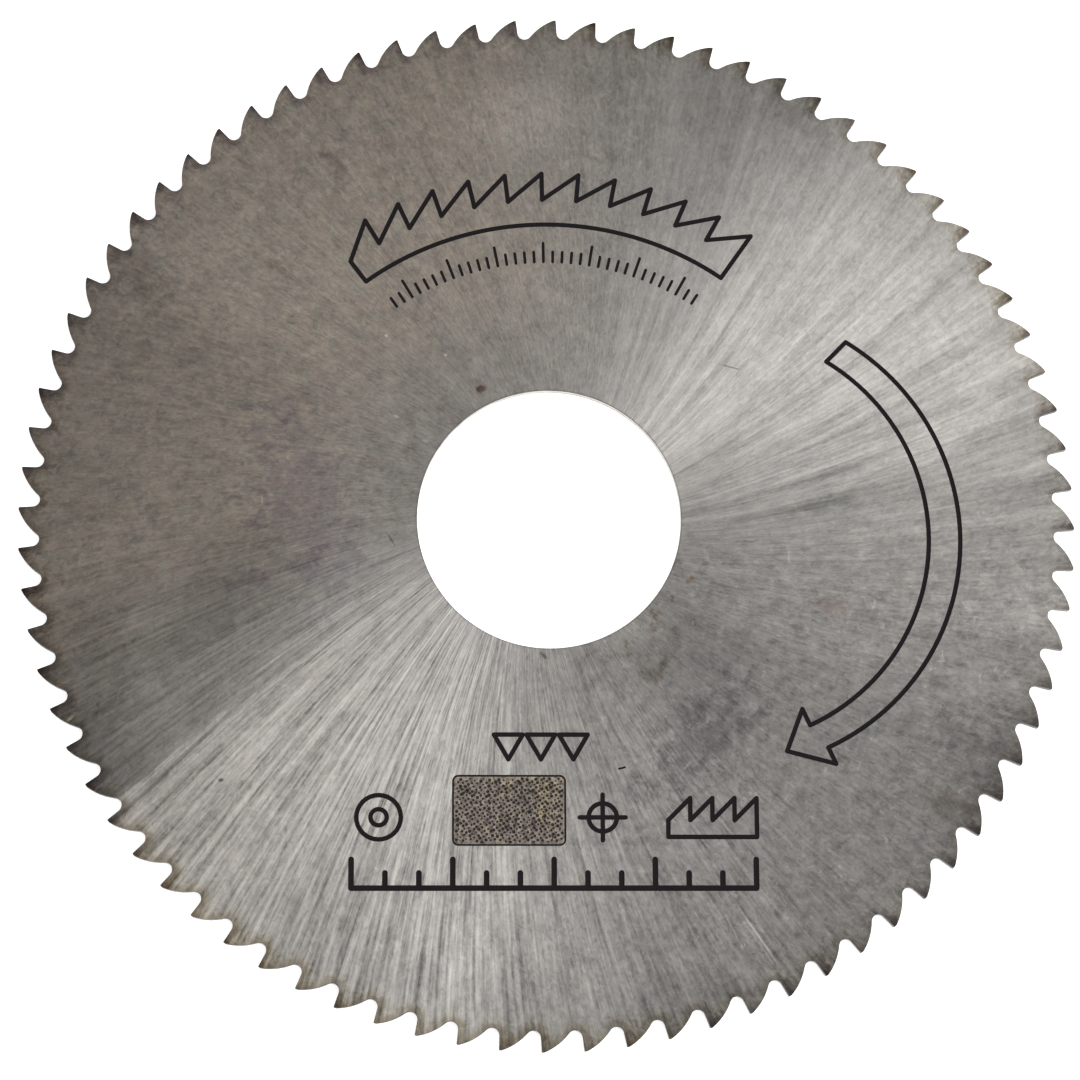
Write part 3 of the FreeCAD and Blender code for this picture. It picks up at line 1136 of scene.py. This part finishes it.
@dataclass(frozen=True)
class GroundSteel(Finish):
    """High-speed steel, ground in nearly radial strokes, with heat colours round the teeth.

    The strokes lean a little from the radius, which curves them. Each has its own small tilt along its
    length, so that strokes catch the light one by one and in bands. Fans of painted highlight and painted
    shade lie over the colour, and one fan of painted shade ends sharply at one stroke. The underside has the
    same grain, stains and painted light, turned by a number of whole teeth.
    """

    name = "ground_steel"

    disc: ToothedDisc
    colour: Colour = (0.212, 0.203, 0.1925)
    stain: Colour = (1.09, 1.0, 0.90)
    hue_change: Colour = (0.26, 0.0, -0.20)
    straw: Colour = (0.88, 0.84, 0.70)
    brown: Colour = (0.36, 0.29, 0.23)
    violet: Colour = (0.40, 0.36, 0.45)
    rust: Colour = (0.55, 0.42, 0.34)
    roughness: float = 0.42
    anisotropy: float = 0.75
    stroke_lean: float = 9.0
    stroke_radius: float = 12.0
    tilt: float = 0.045
    broad_tilt: float = 0.06
    # How much darker the face gets towards the rim.
    rim_darkening: float = 0.22
    # How much the painted highlight brightens the bore's wall.
    painted_wall_shine: float = 2.4
    wall_start: float = 0.03
    wall_full: float = 0.06
    wall_margin: float = 0.04
    # The fan of painted shade, which ends sharply at one stroke; its streaks also show less.
    shade_fan_sector: Sector = (211.3, 6, 30)
    shade_fan_edge: float = 0.012
    painted_fan_shade: float = 0.32
    shade_fan_streaks: float = 0.4
    cloud_strength: float = 0.35
    stain_sector: Sector = (160, 40, 100)
    clean_sector: Sector = (236, 26, 52)
    straw_low: Sector = (232, 45, 90)
    violet_left: Sector = (150, 55, 78)
    violet_right: Sector = (325, 38, 55)
    faint_right: Sector = (345, 12, 25)
    faint_low: Sector = (235, 18, 40)
    rust_right: Sector = (325, 18, 45)
    rust_left: Sector = (150, 30, 60)
    bore_rim: float = 0.07
    # How much darker the thin ring at the bore's edge is.
    bore_rim_dulling: float = 0.3
    blemish_wander: float = 2.0
    blemish_core: float = 0.2
    underside_turn: int = 31
    plain_grain: Grain = Grain(fine=0.20, short=0.45, wide=0.30, mottle=0.80, flecks=0.10, speckle=1.0)
    grains: tuple[tuple[Sector, Grain], ...] = (
        ((35, 26, 52), Grain(0.15, 0.10, 0.55, -0.45, -0.05, -0.3)),
        ((228, 20, 48), Grain(1.65, 0.75, 0.40, -0.40, 0.05, -0.2)),
        ((288, 8, 24), Grain(0.60, 0.30, 0.00, 0.00, 0.00, 0.0)),
        ((322, 24, 46), Grain(-0.10, 0.10, -0.15, 0.35, 0.35, 0.0)),
    )
    # Painted highlights and painted shade, fan by fan, over the face's colour.
    painted_fans: tuple[PaintedFan, ...] = (
        PaintedFan((14, 27, 48), 8, 16, 0.25),
        PaintedFan((2, 4, 14), 8, 16, -0.20),
        PaintedFan((20, 8, 20), 13.5, 16, -0.12),
        PaintedFan((34, 12, 36), 16, 5, 0.12),
        PaintedFan((46, 6, 20), 6, 10, 0.12),
        PaintedFan((46, 6, 20), 12, 15, -0.12),
        PaintedFan((218, 4, 20), 5, 12, 0.30),
        PaintedFan((208, 3, 10), 13, 16, -0.30),
        PaintedFan((220, 6, 20), 14, 5, 0.10),
        PaintedFan((264, 6, 18), 6, 13, 0.12),
        PaintedFan((172, 14, 30), 6, 11, -0.18),
        PaintedFan((198, 8, 20), 6, 9, -0.10),
        PaintedFan((194, 6, 16), 9, 14, 0.18),
        PaintedFan((280, 14, 30), 13.5, 15.7, -0.12),
        PaintedFan((305, 32, 62), 8, 17, -0.14),
        PaintedFan((321, 5, 19), 14, 5, -0.20),
        PaintedFan((330, 5, 14), 13.5, 16, -0.20),
        PaintedFan((165, 22, 45), 12, 4.5, -0.08),
    )
    blemishes: tuple[Blemish, ...] = (
        Blemish((5.33, -11.43), (6.8, -13.61), 0.035, (1.6, 1.6, 1.55)),
        Blemish((5, -11.7), (5.8, -13.26), 0.03, (1.45, 1.45, 1.4)),
        Blemish((5.33, 4.84), (5.94, 4.68), 0.03, (0.5, 0.5, 0.5)),
        Blemish((-9.8, -7.99), (-9.74, -7.99), 0.055, (0.35, 0.34, 0.34)),
        Blemish((7.17, 0.35), (9.77, 0.52), 0.42, (0.8, 0.81, 0.8)),
        Blemish((8.69, -0.08), (10, -0.07), 0.28, (0.8, 0.82, 0.82)),
        Blemish((8.48, -2.59), (8.84, -2.8), 0.55, (0.97, 0.89, 0.87)),
        Blemish((11.34, -8.48), (12.9, -9), 0.65, (0.83, 0.78, 0.74)),
        Blemish((-2.15, 4.05), (-2.02, 4.03), 0.14, (0.5, 0.38, 0.34)),
        Blemish((-0.26, -4.15), (-0.12, -4.3), 0.08, (0.55, 0.42, 0.34)),
        Blemish((3, -4.9), (3.37, -4.59), 0.4, (0.72, 0.66, 0.62)),
        Blemish((-9.6, -2.1), (-8.65, -1.79), 0.5, (0.78, 0.76, 0.8)),
        Blemish((-7.75, -1.48), (-6.98, -1.16), 0.45, (0.8, 0.79, 0.82)),
        Blemish((-1.21, -12.17), (-0.47, -12.55), 0.035, (0.7, 0.7, 0.7)),
        Blemish((3.99, -7.62), (4.29, -7.35), 0.07, (1.35, 1.35, 1.32)),
        Blemish((-3.8, 2.42), (-3.66, 2.38), 0.1, (1.5, 1.5, 1.45)),
        Blemish((-4.71, 3.17), (-4.59, 3.14), 0.07, (1.5, 1.45, 1.5)),
        Blemish((-4.97, 5.71), (-4.95, 5.7), 0.07, (1.9, 1.8, 1.9)),
        Blemish((-3.16, 5.11), (-3.14, 5.1), 0.06, (1.9, 1.9, 1.9)),
        Blemish((-8.69, 0.65), (-8.68, 0.4), 0.06, (1.45, 1.42, 1.42)),
        Blemish((-14.39, -6.26), (-14.16, -6.05), 0.08, (3.2, 3.1, 3)),
        Blemish((-4.96, -0.39), (-4.66, -0.88), 0.05, (0.62, 0.6, 0.58)),
        Blemish((-1.47, 14.93), (-1, 15.33), 0.12, (1.3, 1.28, 1.2)),
        Blemish((-6.9, 11.5), (-6.27, 10.85), 0.3, (0.8, 0.78, 0.78)),
        # From here on, broad grey ovals that make the face lighter or darker in patches.
        Blemish((3.2, -7.9), (5.8, -5.6), 1.2, (0.7, 0.69, 0.71)),
        Blemish((-8.1, 2.3), (-6.9, -1.3), 2.1, (0.84, 0.82, 0.89)),
        Blemish((-12.3, 6.8), (-13.3, 9), 0.9, (0.74, 0.74, 0.74)),
        Blemish((2, -3.7), (3.2, -3.1), 0.8, (1.4, 1.38, 1.36)),
        Blemish((-12.9, -8), (-12, -9.6), 0.9, (1.34, 1.34, 1.34)),
        Blemish((-1.8, 12.7), (-0.1, 13), 1.7, (1.28, 1.28, 1.28)),
        Blemish((5.8, -12.2), (6.9, -13.9), 0.7, (1.27, 1.27, 1.27)),
        Blemish((-12.3, -3.8), (-11.2, -1.4), 1, (1.26, 1.26, 1.26)),
        Blemish((-9.6, -11), (-6, -5.6), 0.6, (0.82, 0.82, 0.82)),
        Blemish((10, 1.7), (14.5, 3.4), 0.8, (1.24, 1.24, 1.24)),
        Blemish((-13.3, -6.3), (-11.2, -5.1), 0.6, (0.82, 0.82, 0.82)),
        Blemish((11.5, -6.2), (13.2, -7.2), 0.6, (0.81, 0.81, 0.81)),
        Blemish((11, -7.6), (12, -8.6), 0.6, (1.22, 1.22, 1.22)),
        Blemish((7.2, 13.4), (8.6, 12.4), 0.8, (0.81, 0.81, 0.81)),
    )

    def surface(self, g: Graph) -> Inputs:
        """Works out the ground steel.

        Args:
            g: The material's graph.

        Returns:
            What goes into the surface shader.
        """
        place = g.millimetres()
        flat = g.vector("MULTIPLY", place, (1.0, 1.0, 0.0))
        face = self.face(g, flat, g.part(place, "Z"))
        radius = face.radius
        mottle = g.noise(place, scale=2.4, detail=4, roughness=0.65, curl=0.4)
        marks = {
            "fine": face.strokes(count=105, length=5),
            "short": face.strokes(count=120, length=0.9),
            "wide": face.strokes(count=28, length=8),
            "mottle": mottle - 0.5,
            "flecks": g.noise(place, scale=3.6, detail=3, roughness=0.65, curl=0.9).over(0.60, 0.74),
            "speckle": face.strokes(count=85, length=0.24, curl=1.2),
        }
        strengths = self.grain_strengths(face)
        shown = {name: mark * strengths[name] for name, mark in marks.items()}
        # The fan of painted shade, where the streaks also show less.
        shade_fan = self.shade_fan(face, marks["wide"] * 0.3 + marks["fine"] * 0.1)
        streaks = (shown["fine"] + shown["short"] + shown["wide"]) * (1.0 - shade_fan * self.shade_fan_streaks)
        cloud = (g.noise(place, scale=0.9, detail=4, roughness=0.6) - 0.5) * self.cloud_strength
        shade = 1.0 + streaks + shown["mottle"] + shown["flecks"] + shown["speckle"] + cloud
        # The grain's shade times the painted light of the face.
        colour = g.tinted(self.colour, g.grey(shade * self.painted_light(face, shade_fan)))

        stained = face.within(self.stain_sector) * (radius.over(2, 9) + radius.over(12, 16) * 0.3)
        stained = stained * (1.0 - face.within(self.clean_sector) * 0.8)
        colour = g.tinted(colour, self.stain, stained)
        plain_hue = tuple(1.0 - change / 2 for change in self.hue_change)
        hue = g.combined(X=g.part(mottle.also("Color"), "Y"), Z=mottle)
        hue = g.vector("MULTIPLY_ADD", hue, self.hue_change, plain_hue)
        colour = g.tinted(colour, hue, stained * 0.7 + 0.3)
        colour = self.blemished(face, self.heated(face, colour, marks), marks["mottle"])
        tilt = streaks * self.tilt + face.strokes(count=9, length=70) * self.broad_tilt
        return {
            "Base Color": colour,
            "Metallic": 1.0,
            "Roughness": self.roughness,
            "Anisotropic": self.anisotropy,
            "Anisotropic Rotation": self.stroke_lean / FULL_TURN,
            "Normal": self.tilted_normal(g, flat, tilt),
        }

    def face(self, g: Graph, flat: Value, height: Value) -> GroundFace:
        """Turns the pattern on the underside, and finds the strokes.

        Args:
            g: The material's graph.
            flat: The place in the plane.
            height: The height above the lower face.

        Returns:
            The place on the face.
        """
        radius = g.vector("LENGTH", flat)
        underside = height.math("LESS_THAN", self.disc.edge_break)
        flat = g.turned(flat, underside * (self.underside_turn * math.tau / self.disc.tooth_count))
        # A direction that is unwound along the stroke's curve is the same all along the stroke.
        curl = (radius / self.stroke_radius).math("LOGARITHM", math.e)
        around = g.turned(flat, curl * -math.tan(math.radians(self.stroke_lean)))
        return GroundFace(g, flat, g.vector("NORMALIZE", around), radius, height)

    def grain_strengths(self, face: GroundFace) -> dict[str, Value]:
        """Works out how strongly each kind of mark shows.

        Args:
            face: The place on the face.

        Returns:
            The strengths, by the names of the marks.
        """
        strengths: dict[str, Any] = dict(vars(self.plain_grain))
        for sector, grain in self.grains:
            mask = face.within(sector)
            for name, change in vars(grain).items():
                strengths[name] = mask * change + strengths[name]
        return strengths

    def shade_fan(self, face: GroundFace, wander: Value) -> Value:
        """Masks the fan of painted shade, which ends sharply at one stroke, or a few more or less.

        Args:
            face: The place on the face.
            wander: How far the sharp edge is moved.

        Returns:
            The mask.
        """
        across = tuple(polar(1, self.shade_fan_sector[0] + FULL_TURN / 4))
        past_edge = face.g.vector("DOT_PRODUCT", face.around, across) + wander
        return face.within(self.shade_fan_sector) * past_edge.over(self.shade_fan_edge, -self.shade_fan_edge)

    def painted_light(self, face: GroundFace, shade_fan: Value) -> Value:
        """Works out the painted light of the fans and of the bore's wall, and the darker rims.

        Args:
            face: The place on the face.
            shade_fan: The mask of the fan of painted shade.

        Returns:
            The brightness, where 1 is plain.
        """
        radius = face.radius
        # Darker towards the rim.
        level = 1.0 - radius.over(8, 17) * self.rim_darkening
        # Painted shade over the fan that ends sharply at one stroke.
        level = level - shade_fan * radius.over(5, 12) * self.painted_fan_shade
        # Painted highlights and painted shade in fans.
        for fan in self.painted_fans:
            level = level + fan.strength(face)
        # Darker in a thin ring at the bore's edge.
        bore_radius = self.disc.bore_diameter / 2
        bore_rim = radius.over(bore_radius + self.bore_rim, bore_radius)
        level = level * (1.0 - bore_rim * self.bore_rim_dulling)
        # A painted highlight on the bore's wall.
        thickness = self.disc.thickness
        bore_wall = face.height.over(thickness - self.wall_start, thickness - self.wall_full)
        bore_wall = bore_wall * radius.math("LESS_THAN", bore_radius + self.wall_margin)
        return level * (1.0 + bore_wall * self.painted_wall_shine)

    def tilted_normal(self, g: Graph, flat: Value, tilt: Value) -> Value:
        """Tilts the surface's normal along the strokes.

        Args:
            g: The material's graph.
            flat: The place in the plane.
            tilt: How far it is tilted.

        Returns:
            The normal.
        """
        along = g.turned(g.vector("NORMALIZE", flat), math.radians(self.stroke_lean))
        spaces = {"vector_type": "VECTOR", "convert_from": "OBJECT", "convert_to": "WORLD"}
        lean = g.add("ShaderNodeVectorTransform", {0: g.scaled(along, tilt)}, **spaces)
        normal = g.add("ShaderNodeNewGeometry", {}, "Normal")
        return g.vector("NORMALIZE", g.vector("ADD", normal, lean))

    def heated(self, face: GroundFace, colour: Value, marks: dict[str, Value]) -> Value:
        """Tints the steel as sharpening burnt it round the teeth.

        Each tooth is worked out in the place of the first one. Straw lies outermost, and brown or violet
        lies behind the cutting edge, along the tooth's face and along the whole edge.

        Args:
            face: The place on the face.
            colour: The plain steel.
            marks: The marks of the ground face, which the tints' edges follow.

        Returns:
            The tinted colour.
        """
        g = face.g
        disc = self.disc
        shape = disc.tooth()
        pitch = math.tau / disc.tooth_count
        x = g.part(face.flat, "X")
        angle = x.also("Y").math("ARCTAN2", x) - math.radians(disc.first_tooth_angle)
        tooth = (angle / pitch).math("CEIL")
        lot = g.add("ShaderNodeTexWhiteNoise", {"W": tooth}, "Value", noise_dimensions="1D")
        here = g.turned(face.flat, tooth * -pitch)

        def distance(point: Vector) -> Value:
            """Returns how far the place is from a point of the first tooth."""
            return g.vector("DISTANCE", here, tuple(point))

        back_turn = Matrix.Rotation(-pitch, 3, "Z")
        from_tip = distance(shape.cutting_edge).math("MINIMUM", distance(shape.next_edge))
        from_gullet = distance(shape.gullet_centre)
        from_gullet = from_gullet.math("MINIMUM", distance(back_turn @ shape.gullet_centre))
        from_back = (shape.heel - shape.back_centre).length - distance(shape.back_centre)
        from_root = disc.outer_diameter / 2 - disc.tooth_depth - face.radius
        from_face = g.from_line(here, shape.cutting_edge, shape.face_end)
        next_face = g.from_line(here, shape.next_edge, back_turn @ shape.face_end)
        from_face = from_face.math("MINIMUM", next_face)
        from_edge = from_back.math("MAXIMUM", from_root).math("MINIMUM", from_face)
        from_edge = (from_gullet - disc.gullet_radius).math("MINIMUM", from_edge)

        wander = marks["fine"] * 0.5 + marks["mottle"] * 0.4 + marks["speckle"] * 0.6
        low = face.within(self.straw_low)
        left = face.within(self.violet_left)
        cool = left + face.within(self.violet_right) * 0.7
        burnt = g.tinted(self.brown, self.violet, cool, Blend.MIX)
        heavy = 1.0 - face.within(self.faint_right) * 0.4 - face.within(self.faint_low) * 0.3
        along_face = (0.2 + left * 0.1 + lot * 0.3) * heavy
        behind_tip = (0.22 + left * 0.04 + lot * 0.4) * heavy
        tints = (
            ((from_edge + wander * 0.5).over(0.45, 0.05) * (0.15 + low * 0.5), self.straw),
            ((from_tip + wander).over(0.95, 0.35) * (0.45 - cool * 0.3) * (0.5 + lot), self.straw),
            ((from_edge + wander * 0.2).over(0.27, 0.03) * (0.12 + low * 0.2 + left * 0.12), burnt),
            ((from_face + wander * 0.5 - left * 0.1).over(0.44, 0.06) * along_face, burnt),
            ((from_tip + wander).over(0.55, 0.12) * behind_tip, burnt),
            ((from_tip + wander * 0.3).over(0.30, 0.08) * (0.2 + lot * 0.45), self.brown),
        )
        for mask, tint in tints:
            colour = g.tinted(colour, tint, mask)
        return colour

    def blemished(self, face: GroundFace, colour: Value, mottle: Value) -> Value:
        """Adds rust near the bore, and the scratches, specks, stains and broad lighter or darker patches.

        Args:
            face: The place on the face.
            colour: The steel without them.
            mottle: The noise that breaks up their edges.

        Returns:
            The finished colour.
        """
        near_right = face.radius.over(6.5, 4.4) * face.within(self.rust_right)
        near_left = face.radius.over(7.0, 4.6) * face.within(self.rust_left)
        spots = face.g.noise(face.flat, scale=2, detail=4, roughness=0.7).over(0.50, 0.72)
        colour = face.g.tinted(colour, self.rust, spots * (near_right + near_left * 0.5))
        wander = mottle * self.blemish_wander
        for blemish in self.blemishes:
            mask = (blemish.measured(face) + wander).over(1.0, self.blemish_core)
            colour = face.g.tinted(colour, blemish.tint, mask)
        return colour


@dataclass(frozen=True)
class EngravedBlack(Finish):
    """The burnt, nearly black floor of an engraved line."""

    name = "engraved_black"

    colour: Colour = (0.007, 0.0055, 0.0065)
    roughness: float = 0.6
    gloss: float = 0.07

    def surface(self, g: Graph) -> Inputs:
        """Returns what goes into the surface shader."""
        return {"Base Color": self.colour, "Roughness": self.roughness, "Specular IOR Level": self.gloss}


@dataclass(frozen=True)
class BurntSteel(Finish):
    """The brown floor of the patch, with lines of grinding, straw-coloured areas and dark pits."""

    name = "burnt_steel"

    floor: float
    colour: Colour = (0.130, 0.108, 0.091)
    straw: Colour = (1.40, 1.36, 1.06)
    pit: Colour = (0.05, 0.04, 0.042)
    pit_edge: float = 0.0005
    pit_dark: float = 0.005
    roughness: float = 0.5
    metallic: float = 0.6
    line_stretch: tuple[float, float, float] = (9.0, 0.6, 1.0)

    def surface(self, g: Graph) -> Inputs:
        """Works out the patch.

        Args:
            g: The material's graph.

        Returns:
            What goes into the surface shader.
        """
        place = g.millimetres()
        stretched = g.vector("MULTIPLY", place, self.line_stretch)
        lines = g.noise(stretched, scale=1, detail=3, roughness=0.7)
        grain = g.noise(place, scale=7, detail=4, roughness=0.7, curl=0.6)
        shade = 1.0 + (lines - 0.5) * 1.6 + (grain - 0.5) * 5.0
        areas = g.noise(place, scale=1.3, detail=3, roughness=0.6).over(0.50, 0.64)
        deep = g.part(place, "Z").over(self.floor - self.pit_edge, self.floor - self.pit_dark)
        colour = g.tinted(g.tinted(self.colour, self.straw, areas), self.pit, deep)
        colour = g.tinted(colour, g.grey(shade))
        return {"Base Color": colour, "Roughness": self.roughness, "Metallic": self.metallic}


@dataclass(frozen=True)
class PaleFloor(Finish):
    """The white sheet that the saw lies on. It glows a little, so that the saw's thin shadow is white."""

    name = "pale_floor"

    colour: Colour = (0.9, 0.9, 0.9)
    roughness: float = 0.9
    glow: float = 0.6

    def surface(self, g: Graph) -> Inputs:
        """Returns what goes into the surface shader."""
        glow = {"Emission Color": self.colour, "Emission Strength": self.glow}
        return {"Base Color": self.colour, "Roughness": self.roughness, **glow}


def looking(aim: Vector, azimuth: float, elevation: float, distance: float, roll: float = 0.0) -> Matrix:
    """Places a camera or a light that looks at a point.

    Args:
        aim: The point, in metres.
        azimuth: The direction from the point to the camera, from +X towards +Y.
        elevation: The same direction's height above the floor.
        distance: From the point, in metres.
        roll: How far the camera is turned about its own line of sight.

    Returns:
        The matrix of the camera or the light.
    """
    turned = Matrix.Rotation(math.radians(azimuth + FULL_TURN / 4), 4, "Z")
    tilted = Matrix.Rotation(math.radians(FULL_TURN / 4 - elevation), 4, "X")
    rolled = Matrix.Rotation(math.radians(roll), 4, "Z")
    rotation = turned @ tilted @ rolled
    back = rotation.to_3x3() @ UP
    return Matrix.Translation(aim + back * distance) @ rotation


@dataclass(frozen=True)
class Softbox:
    """A square light that faces the saw. Its place is given by direction and distance, in metres."""

    name: str
    azimuth: float
    elevation: float
    distance: float
    size: float
    power: float

    def build(self) -> None:
        """Adds the light to the scene."""
        data = bpy.data.lights.new(self.name, "AREA")
        data.shape = "SQUARE"
        data.size = self.size
        data.energy = self.power
        light = in_scene(self.name, data)
        light.matrix_world = looking(Vector(), self.azimuth, self.elevation, self.distance)


@dataclass
class Studio:
    """The floor, the soft light and the camera."""

    floor_size: float = 2.0
    floor_gap: float = 0.002 * MM
    world_strength: float = 1.05
    lens: float = 106.81
    sensor: float = 36.0
    aim: Vector = Vector((-0.281, -0.676, 0.3)) * MM
    azimuth: float = -99.70
    elevation: float = 77.56
    distance: float = 96.89 * MM
    roll: float = 9.70
    light: Softbox = Softbox("key_light", -6.0, 64.0, 0.5, 0.14, 0.95)

    def build(self) -> None:
        """Adds everything round the saw to the scene."""
        self.build_floor()
        self.build_world()
        self.light.build()
        self.build_camera()
        bpy.context.scene.view_settings.view_transform = "Standard"

    def build_floor(self) -> None:
        """Adds the sheet under the saw."""
        half = self.floor_size / 2
        corners = [(-half, -half, 0), (half, -half, 0), (half, half, 0), (-half, half, 0)]
        mesh = bpy.data.meshes.new("floor")
        mesh.from_pydata(corners, [], [(0, 1, 2, 3)])
        mesh.materials.append(PaleFloor().material())
        floor = in_scene("floor", mesh)
        floor.location.z = -self.floor_gap

    def build_world(self) -> None:
        """Adds the even light from all round."""
        world = bpy.data.worlds.new("studio")
        world.use_nodes = True
        world.node_tree.nodes.clear()
        g = Graph(world.node_tree)
        inputs = {"Color": (1.0, 1.0, 1.0), "Strength": self.world_strength}
        g.add("ShaderNodeOutputWorld", {"Surface": g.add("ShaderNodeBackground", inputs)})
        bpy.context.scene.world = world

    def build_camera(self) -> None:
        """Adds the camera that took the photograph."""
        data = bpy.data.cameras.new("camera")
        data.lens = self.lens
        data.sensor_width = self.sensor
        data.clip_start = self.distance / 20
        camera = in_scene("camera", data)
        camera.matrix_world = looking(self.aim, self.azimuth, self.elevation, self.distance, self.roll)
        bpy.context.scene.camera = camera


def main() -> None:
    """Builds the saw and the studio round it."""
    logging.basicConfig(level=logging.INFO, format="%(message)s")
    disc = ToothedDisc()
    patch = BurntPatch()
    finishes = {
        Zone.GROUND: GroundSteel(disc).material(),
        Zone.ENGRAVED: EngravedBlack().material(),
        Zone.PATCH: BurntSteel(floor=disc.thickness - patch.depth).material(),
    }
    EngravedSaw(finishes, disc, patch).build()
    Studio().build()


if __name__ == "__main__":
    main()
